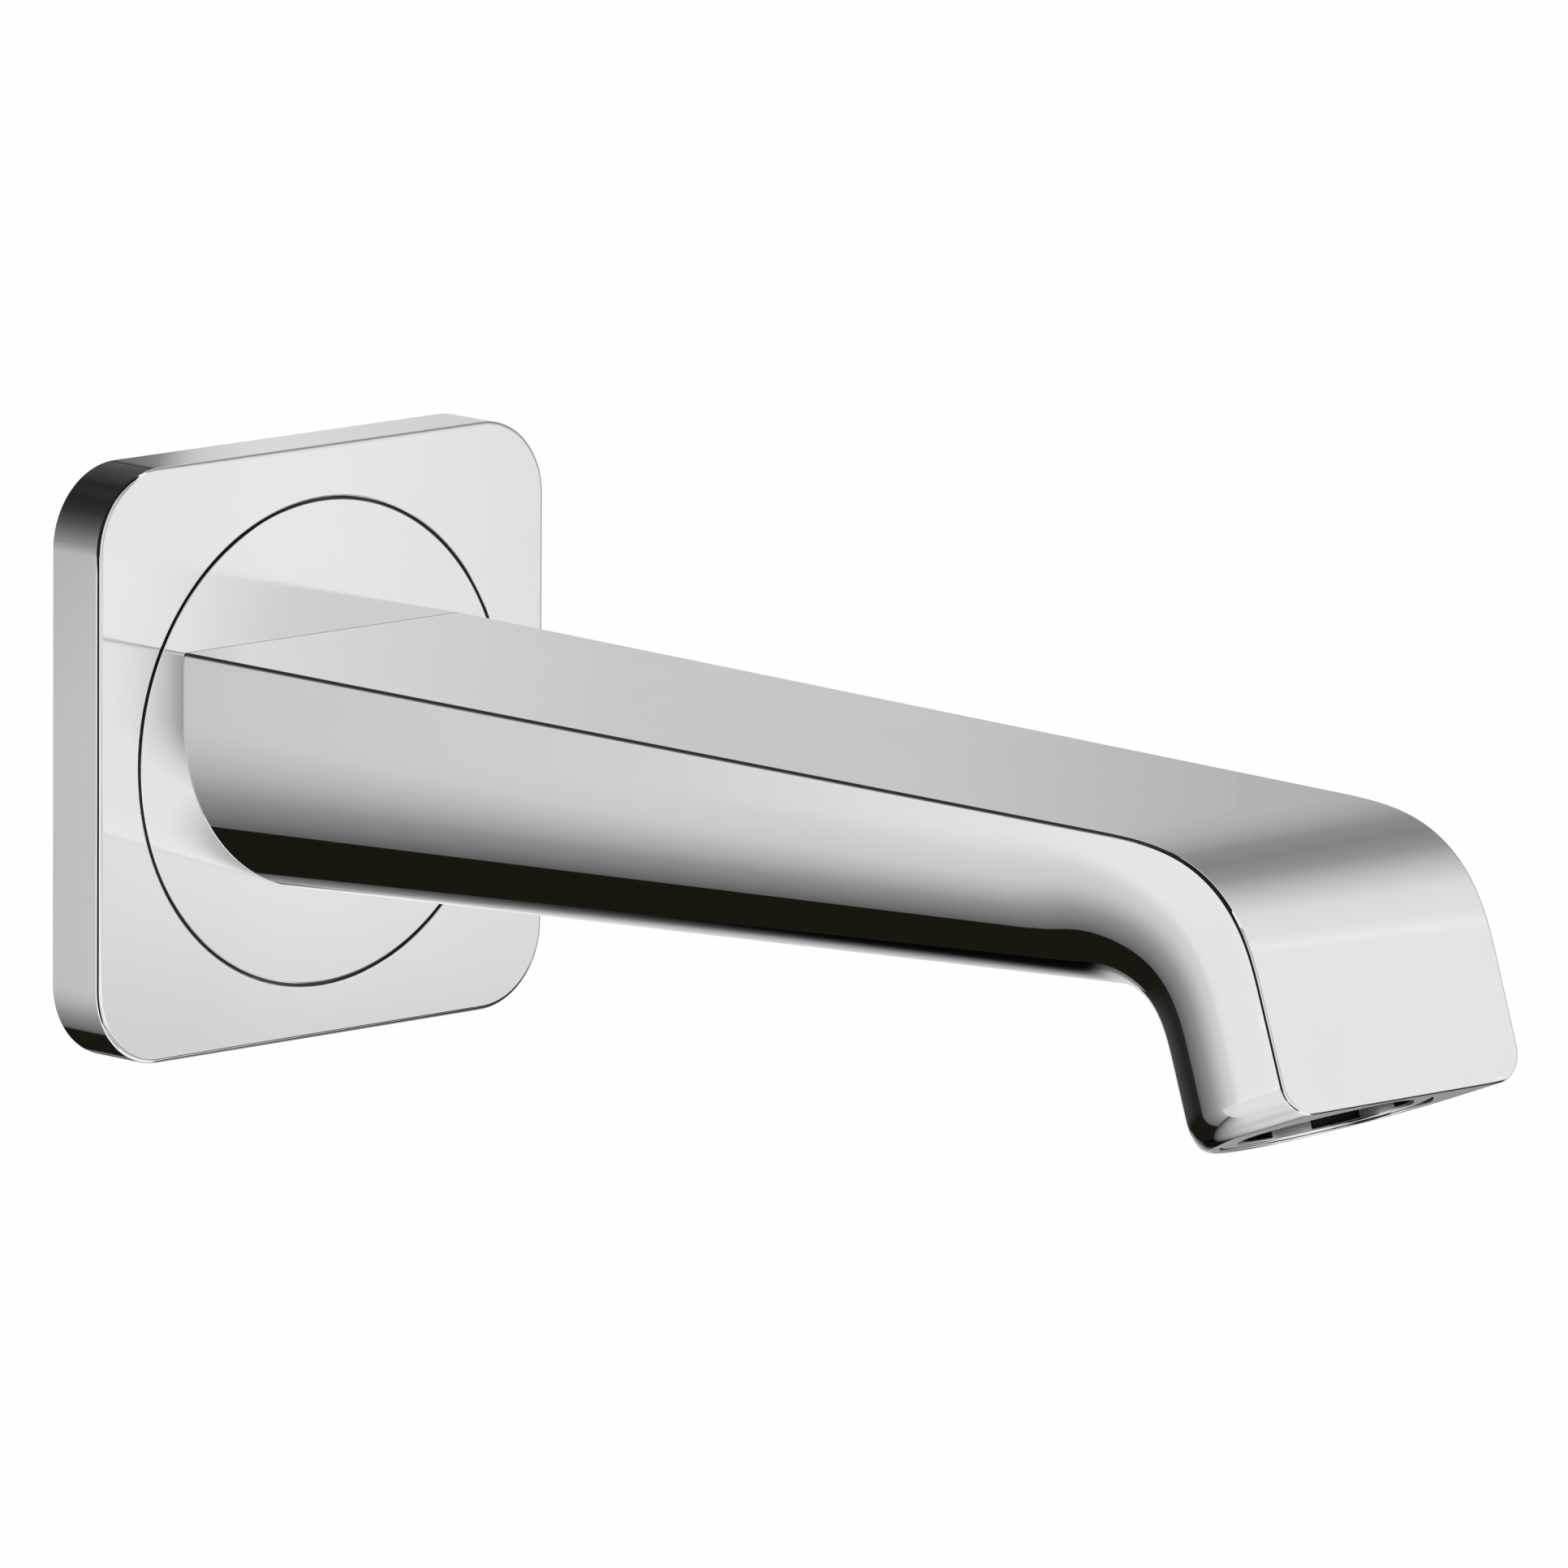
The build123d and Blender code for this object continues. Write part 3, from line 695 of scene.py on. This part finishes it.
def addNode(tree, kind, settings=None, links=None):
    node = tree.nodes.new(kind)
    for name, value in (settings or {}).items():
        if name in node.inputs:
            node.inputs[name].default_value = value
        else:
            setattr(node, name, value)
    for name, source in (links or {}).items():
        tree.links.new(source, node.inputs[name])
    return node


def startMaterial(name):
    material = bpy.data.materials.new(name)
    material.use_nodes = True
    material.node_tree.nodes.clear()
    return material, material.node_tree


def perMetre(size):
    # how often a pattern of that size in millimetres repeats in a metre
    return 1 / (size * mm)


# a finish has two tones, the pattern between them with its size and relief in millimetres, and a range of
# roughness; the pattern is noise, the same all ways, where nothing else is said
finishes = {
    # bright nickel and chrome on polished brass: a mirror with the faintest haze from buffing
    "chromePlatedPolished": {
        "tones": ("#eeeeee", "#f2f2f2"), "metal": 1, "size": 14,
        "relief": 0.0008, "rough": (0.01, 0.03),
    },
    # the same plating on flat, lapped pieces: a little more haze, so that far things mirror softer
    "chromePlatedLapped": {
        "tones": ("#eeeeee", "#f2f2f2"), "metal": 1, "size": 14,
        "relief": 0.0008, "rough": (0.06, 0.085),
    },
    # painted shade: the walls deep in the narrow gap between disc and plate are painted near black and matt,
    # standing in for the shade in the gap
    "paintedGapShade": {
        "tones": ("#141414", "#1c1c1d"), "metal": 0, "size": 1.5,
        "relief": 0.004, "rough": (0.5, 0.7),
    },
    # turned brass: warm yellow with fine rings from the tool
    "turnedBrass": {
        "tones": ("#c79a52", "#dcb268"), "metal": 1, "size": 5, "stretch": (1, 24, 1),
        "relief": 0.006, "rough": (0.18, 0.32),
    },
    # a cast bore that the plating hardly reaches is dull, and its dark grey is painted shade for the recess
    "dullBoreWithPaintedShade": {
        "tones": ("#434342", "#555553"), "metal": 1, "size": 1.5,
        "relief": 0.02, "rough": (0.5, 0.68),
    },
    # plating over a turned bore: bright but clouded by fine tool marks
    "platedTurnedBore": {
        "tones": ("#b4b5b6", "#c4c5c6"), "metal": 1, "size": 0.8, "stretch": (1, 1, 6),
        "relief": 0.004, "rough": (0.2, 0.32),
    },
    # closed-cell foam cut from sheet: dark and soft, full of small cells
    "cutClosedCellFoam": {
        "tones": ("#232425", "#34363a"), "metal": 0, "pattern": "ShaderNodeTexVoronoi", "size": 0.7,
        "relief": 0.09, "rough": (0.75, 0.95),
    },
    # moulded seal rubber: black with a dull, greasy sheen
    "mouldedSealRubber": {
        "tones": ("#121213", "#1d1d1f"), "metal": 0, "size": 1.8,
        "relief": 0.005, "rough": (0.38, 0.55),
    },
    # spring steel, hardened and oiled: dark grey with a brownish bloom
    "oiledSpringSteel": {
        "tones": ("#4b4a4c", "#635d57"), "metal": 1, "size": 3, "stretch": (1, 1, 4),
        "relief": 0.003, "rough": (0.25, 0.42),
    },
    # stainless steel, drawn and ground: bright grey with short scratches
    "groundStainless": {
        "tones": ("#b4b6b8", "#cbccce"), "metal": 1, "size": 1.2, "stretch": (1, 1, 6),
        "relief": 0.003, "rough": (0.2, 0.34),
    },
    # moulded acetal, dark grey: satin with the faint grain of the mould
    "mouldedDarkAcetal": {
        "tones": ("#2a2b2d", "#37393b"), "metal": 0, "size": 0.6,
        "relief": 0.004, "rough": (0.32, 0.46),
    },
    # moulded acetal in its natural colour: milky white and satin
    "mouldedNaturalAcetal": {
        "tones": ("#d9d8d2", "#e6e5e0"), "metal": 0, "size": 0.8,
        "relief": 0.004, "rough": (0.3, 0.45),
    },
}
solidFinishes = {
    "wall_seal": "cutClosedCellFoam", "disc_o_ring": "mouldedSealRubber",
    "retaining_ring": "oiledSpringSteel", "set_screw": "groundStainless",
    "nipple_front_o_ring": "mouldedSealRubber", "nipple_rear_o_ring": "mouldedSealRubber",
    "mesh_screen": "groundStainless", "flow_straightener": "mouldedDarkAcetal",
    "jet_plate": "mouldedDarkAcetal", "inlet_strainer": "mouldedNaturalAcetal",
    "aerator_seal": "mouldedSealRubber",
}


def makeFinish(name):
    finish = finishes[name]
    material, tree = startMaterial(name)
    coords = addNode(tree, "ShaderNodeTexCoord")
    stretch = finish.get("stretch", (1, 1, 1))
    spots = addNode(tree, "ShaderNodeMapping", {"Scale": stretch}, {"Vector": coords.outputs["Object"]})
    kind = finish.get("pattern", "ShaderNodeTexNoise")
    pattern = addNode(tree, kind, {"Scale": perMetre(finish["size"])}, {"Vector": spots.outputs["Vector"]})
    value = pattern.outputs[0]
    tones = addNode(tree, "ShaderNodeValToRGB", None, {"Fac": value})
    for stop, tone in zip(tones.color_ramp.elements, finish["tones"]):
        stop.color = linearColor(tone)
    low, high = finish["rough"]
    rough = addNode(tree, "ShaderNodeMapRange", {"To Min": low, "To Max": high}, {"Value": value})
    relief = {"Strength": 1.0, "Distance": finish["relief"] * mm}
    bump = addNode(tree, "ShaderNodeBump", relief, {"Height": value})
    shader = addNode(tree, "ShaderNodeBsdfPrincipled", {"Metallic": float(finish["metal"])}, {
        "Base Color": tones.outputs["Color"],
        "Roughness": rough.outputs["Result"],
        "Normal": bump.outputs["Normal"],
    })
    addNode(tree, "ShaderNodeOutputMaterial", None, {"Surface": shader.outputs["BSDF"]})
    return material


materials = {name: makeFinish(name) for name in finishes}


def dress(piece, *names):
    piece.data.materials.clear()
    for name in names:
        piece.data.materials.append(materials[name])


def paintShadeOnGapWalls(piece, inside, outside):
    # painted shade: the walls of the gap between disc and plate take the second material, a near-black
    # colour for the gap's shade
    wallLean = 0.5
    for face in piece.data.polygons:
        radius = math.hypot(face.center.x, face.center.z) / mm
        facesGap = abs(face.normal.y) < wallLean and inside < radius < outside
        face.material_index = 1 if facesGap else 0


def finishBore(piece, slot, inner, outer, low, high):
    # faces inside the outlet, by radius and height above its mouth, take one of the piece's other materials
    toOutlet = outletStand.inverted()
    for face in piece.data.polygons:
        place = toOutlet @ face.center / mm
        if inner < math.hypot(place.x, place.y) < outer and low < place.z < high:
            face.material_index = slot


def dressSpout():
    dress(spout, "chromePlatedPolished", "dullBoreWithPaintedShade")
    seatRadius = aeratorForm["rimRadius"] + 2 * aeratorForm["rimGap"]
    # painted shade: the outlet's bore round the aerator takes the dark grey of the second material
    finishBore(spout, 1, 0, seatRadius, aeratorForm["mouthEdge"], seatHeight)


def dressRing():
    form = aeratorForm
    dress(aeratorRing, "chromePlatedPolished", "dullBoreWithPaintedShade", "platedTurnedBore")
    windowLow = form["recess"] + form["lip"] / 2
    windowHigh = windowLow + form["lip"] + form["windowHeight"]
    innerWall, outerWall = ringBore + form["edge"], form["rimRadius"] - form["edge"]
    # painted shade: the walls of the ring's windows take the dark grey of the second material; the bore
    # takes the third, its own turned finish
    finishBore(aeratorRing, 1, innerWall, outerWall, windowLow, windowHigh)
    finishBore(aeratorRing, 2, 0, innerWall, form["recess"] + form["edge"], seatHeight)


dressSpout()
dressRing()
# painted shade: between these radii the gap walls of plate and disc are painted near black
gapInside = discForm["radius"] - 2 * discForm["grooveDepth"]
gapOutside = plateForm["holeRadius"] + plateForm["holeEdge"]
for piece in (plate, disc):
    dress(piece, "chromePlatedLapped", "paintedGapShade")
    paintShadeOnGapWalls(piece, gapInside, gapOutside)
dress(nipple, "turnedBrass")
for node, name in solidFinishes.items():
    dress(nodes[node], name)
for piece in (plate, disc, nodes["wall_seal"], nodes["disc_o_ring"], nodes["retaining_ring"]):
    piece.visible_glossy = False   # the spout is lit as if it stood alone before the cards
print("finishes:", len(materials), "set")


# camera

shot = {
    "azimuth": -43.436, "elevation": 9.979, "roll": 0.348, "aim": (38.50, -45.56, -4.56), "distance": 2939.7,
    "lens": 579.02, "sensor": 36.0, "clipEnd": 20000,
}


def placeCamera(shot):
    startFresh()
    bpy.ops.object.camera_add()
    camera = bpy.context.object
    camera.name = "photoView"
    camera.data.sensor_width = shot["sensor"]
    camera.data.lens = shot["lens"]
    camera.data.clip_end = shot["clipEnd"] * mm
    back = Vector((
        sine(shot["azimuth"]) * cosine(shot["elevation"]),
        -cosine(shot["azimuth"]) * cosine(shot["elevation"]),
        sine(shot["elevation"]),
    ))
    turn = back.to_track_quat("Z", "Y").to_matrix().to_4x4()
    roll = Matrix.Rotation(math.radians(shot["roll"]), 4, "Z")
    place = (Vector(shot["aim"]) + back * shot["distance"]) * mm
    camera.matrix_world = Matrix.Translation(place) @ turn @ roll
    bpy.context.scene.camera = camera


placeCamera(shot)
print("camera: placed")


# studio

bpy.context.scene.view_settings.view_transform = "Standard"

studioForm = {
    "floorDepth": -850, "floorSize": 16000, "floorColor": "#fafafa", "worldLevel": 1.04,
    "mirrorShare": 0.875,   # how much of a card's light comes back from the chrome
}
coolWhite = "#fdfffe"   # the light cards' paper
# a card's axes: across, through, up
planeAxes = {"back": (0, 1, 2), "right": (1, 0, 2), "left": (1, 0, 2), "floor": (0, 2, 1)}
# a tone is the brightness that the card shows in the chrome, at a place in millimetres across the card;
# shares weaken or raise it upwards, and a cover of less than 1 lets what is behind the card show
cards = {
    "backLeft": {
        "plane": "back", "at": 450, "across": (-1500, -84), "up": (-820, 430), "tint": coolWhite,
        "tones": ((-750, 0.94), (-640, 0.897), (-560, 0.82), (-475, 0.785), (-275, 0.56), (-90, 0.37)),
        "shares": ((-100, 1.0), (-20, 0.64), (30, 0.46), (130, 0.30), (230, 0.165), (345, 0.09)),
    },
    "backDark": {
        "plane": "back", "at": 490, "across": (-1500, 1500), "up": (-820, 1500), "tint": coolWhite,
        "tones": ((-450, 0.19), (-65, 0.165), (0, 0.15), (80, 0.20), (300, 0.285), (380, 0.34)),
    },
    "backBlack": {
        "plane": "back", "at": 470, "across": (-150, 420), "up": (-820, -160), "tint": "#ffeabb",
        "tones": ((0, 0.10),), "cover": ((-280, 1.0), (-180, 0.0)),
    },
    "backRight": {
        "plane": "back", "at": 450, "across": (350, 700), "up": (-260, 900), "tint": coolWhite,
        "tones": ((370, 0.27), (386, 0.48), (393, 0.77), (405, 0.835), (440, 0.80), (480, 0.765),
                  (540, 0.755), (640, 0.65)),
        "shares": ((-260, 1.05), (-175, 1.35), (-60, 1.15), (100, 1.0)),
    },
    "backRightLow": {
        "plane": "back", "at": 450, "across": (280, 700), "up": (-820, -260), "tint": coolWhite,
        "tones": ((280, 0.55), (350, 0.73), (390, 0.94), (410, 1.0)),
        "shares": ((-510, 0.005), (-480, 0.016), (-440, 0.105), (-360, 0.38), (-260, 0.60)),
    },
    "rightSide": {
        "plane": "right", "at": 600, "across": (-1500, 448), "up": (-820, 1300), "tint": coolWhite,
        "tones": ((-700, 0.90), (-670, 0.918), (-620, 0.88), (-450, 0.857), (-250, 0.735), (-50, 0.576),
                  (125, 0.513), (275, 0.545), (440, 0.685)),
        "shares": ((-820, 1.0), (-330, 0.75), (-205, 0.81), (-178, 0.96), (-150, 1.0)),
    },
    # dark cards that draw the thin lines along the edges
    "rightLow": {
        "plane": "right", "at": 595, "across": (-660, -80), "up": (-850, -235), "tones": ((0, 0.08),),
    },
    "leftHigh": {
        "plane": "left", "at": -700, "across": (-800, 440), "up": (-85, 1200), "tones": ((0, 0.12),),
    },
    "ceiling": {
        "plane": "floor", "at": 1200, "across": (-700, 300), "up": (-800, 440), "tones": ((0, 0.12),),
    },
    "leftLow": {
        "plane": "left", "at": -700, "across": (-560, 100), "up": (-820, -85), "tones": ((0, 0.12),),
    },
    "floorLeft": {
        "plane": "floor", "at": -840, "across": (-700, -50), "up": (-750, -150), "tones": ((0, 0.12),),
    },
    "leftFront": {
        "plane": "left", "at": -700, "across": (-1500, -800), "up": (-85, 1200), "tones": ((0, 0.85),),
    },
    # a wide card before the part, for the outlet's ring and for views from behind
    "front": {
        "plane": "back", "at": -1500, "across": (-1600, 1600), "up": (-300, 1600),
        "tones": ((-1600, 0.60), (-500, 0.93), (0, 0.78), (700, 0.65), (1600, 0.80)),
        "shares": ((-300, 1.0), (400, 0.95), (1600, 0.40)),
    },
    # two small cards under the arm for the rim of the nose
    "underArm": {
        "plane": "back", "at": -100, "across": (-62, 140), "up": (-260, -95), "tint": coolWhite,
        "tones": ((-62, 0.66), (0, 0.58), (50, 0.64), (110, 0.70)),
        "shares": ((-202, 1.9), (-168, 1.8), (-141, 1.5), (-115, 0.85), (-105, 0.5), (-95, 0.05)),
    },
    "underArmLeft": {
        "plane": "back", "at": -100, "across": (-150, -62), "up": (-260, -60), "tint": coolWhite,
        "tones": ((-100, 0.88), (-62, 0.82)),
    },
    # what plate and disc show round the root, by way of the spout's top and side
    "besideTop": {
        "plane": "right", "at": 590, "across": (-730, -620), "up": (125, 180), "shares": ((0, 1.13),),
        "tones": ((-712, 0.905), (-692, 0.89), (-675, 0.80), (-655, 0.78)),
    },
    "besideRoot": {
        "plane": "left", "at": -30, "across": (-60, -16), "up": (-40, 14), "tint": coolWhite,
        "tones": ((-32, 0.90), (-27, 0.87), (-23.5, 0.83), (-20.8, 0.75), (-18.6, 0.63)),
        "shares": ((0, 1.13),), "cover": ((-40, 0.0), (-30, 1.0)), "secondMirror": True,
    },
    "belowRoot": {
        "plane": "floor", "at": -24, "across": (-50, 10), "up": (-60, -14), "tint": coolWhite,
        "tones": ((0, 0.90),), "secondMirror": True,
        "shares": ((-35, 1.13), (-32, 1.04), (-29.5, 0.93), (-27, 0.75), (-21, 0.45)),
    },
}


def toneLevel(tone):
    # a tone as linear light, made up for what the chrome swallows
    return toLinear(tone) / studioForm["mirrorShare"]


def gradient(tree, source, limits, stops):
    # stops along a card, in millimetres, as a ramp over its length
    ramp = addNode(tree, "ShaderNodeValToRGB", None, {"Fac": source})
    points = ramp.color_ramp.elements
    while len(points) > len(stops):
        points.remove(points[-1])
    while len(points) < len(stops):
        points.new(0.5)
    for point, (place, level) in zip(points, stops):
        point.position = min(1, max(0, (place - limits[0]) / (limits[1] - limits[0])))
        point.color = (level, level, level, 1)
    return ramp.outputs["Color"]


def makeGlow(name, form):
    # light that changes across and up the card, and that may thin out to nothing
    material, tree = startMaterial(name)
    coords = addNode(tree, "ShaderNodeTexCoord")
    parts = addNode(tree, "ShaderNodeSeparateXYZ", None, {"Vector": coords.outputs["UV"]})
    whole = ((0, 1.0),)
    levels = [(place, toneLevel(tone)) for place, tone in form["tones"]]
    tones = gradient(tree, parts.outputs["X"], form["across"], levels)
    shares = gradient(tree, parts.outputs["Y"], form["up"], form.get("shares", whole))
    cover = gradient(tree, parts.outputs["Y"], form["up"], form.get("cover", whole))
    if form.get("secondMirror"):
        # glossy depth is 1 in the first mirror and 2 in the second
        path = addNode(tree, "ShaderNodeLightPath")
        later = addNode(tree, "ShaderNodeMath", {"operation": "SUBTRACT", "use_clamp": True},
                        {0: path.outputs["Glossy Depth"]})
        later.inputs[1].default_value = 1
        shown = addNode(tree, "ShaderNodeMath", {"operation": "MULTIPLY"},
                        {0: cover, 1: later.outputs["Value"]})
        cover = shown.outputs["Value"]
    level = addNode(tree, "ShaderNodeMath", {"operation": "MULTIPLY"}, {0: tones, 1: shares})
    tint = linearColor(form.get("tint", "#ffffff"))
    glow = addNode(tree, "ShaderNodeEmission", {"Color": tint}, {"Strength": level.outputs["Value"]})
    gap = addNode(tree, "ShaderNodeBsdfTransparent")
    mixed = addNode(tree, "ShaderNodeMixShader", None,
                    {"Fac": cover, 1: gap.outputs["BSDF"], 2: glow.outputs["Emission"]})
    addNode(tree, "ShaderNodeOutputMaterial", None, {"Surface": mixed.outputs["Shader"]})
    return material


def makeCard(name, form):
    # a glowing studio card that only the chrome sees
    startFresh()
    bpy.ops.mesh.primitive_plane_add(size=1)
    card = bpy.context.object
    card.name = name + "Card"
    across, through, up = planeAxes[form["plane"]]
    (left, right), (bottom, top) = form["across"], form["up"]
    for corner in card.data.vertices:
        place = Vector((0, 0, 0))
        place[across] = left + (corner.co.x + 0.5) * (right - left)
        place[up] = bottom + (corner.co.y + 0.5) * (top - bottom)
        place[through] = form["at"]
        corner.co = place * mm
    card.data.materials.append(makeGlow(name + "Glow", form))
    card.visible_camera = False
    card.visible_diffuse = False
    card.visible_shadow = False
    card.visible_transmission = False


def makeFloor(form):
    startFresh()
    place = (0, 0, form["floorDepth"] * mm)
    bpy.ops.mesh.primitive_plane_add(size=form["floorSize"] * mm, location=place)
    floor = bpy.context.object
    floor.name = "studioFloor"
    material, tree = startMaterial("paintedStudioFloor")
    paint = addNode(tree, "ShaderNodeBsdfDiffuse", {"Color": linearColor(form["floorColor"])})
    addNode(tree, "ShaderNodeOutputMaterial", None, {"Surface": paint.outputs["BSDF"]})
    floor.data.materials.append(material)


def makeWorld(form):
    world = bpy.data.worlds.new("whiteStudio")
    bpy.context.scene.world = world
    world.use_nodes = True
    tree = world.node_tree
    tree.nodes.clear()
    white = {"Color": (1, 1, 1, 1), "Strength": form["worldLevel"]}
    sky = addNode(tree, "ShaderNodeBackground", white)
    addNode(tree, "ShaderNodeOutputWorld", None, {"Surface": sky.outputs["Background"]})


makeWorld(studioForm)
makeFloor(studioForm)
for name, form in cards.items():
    makeCard(name, form)
print("studio: set")
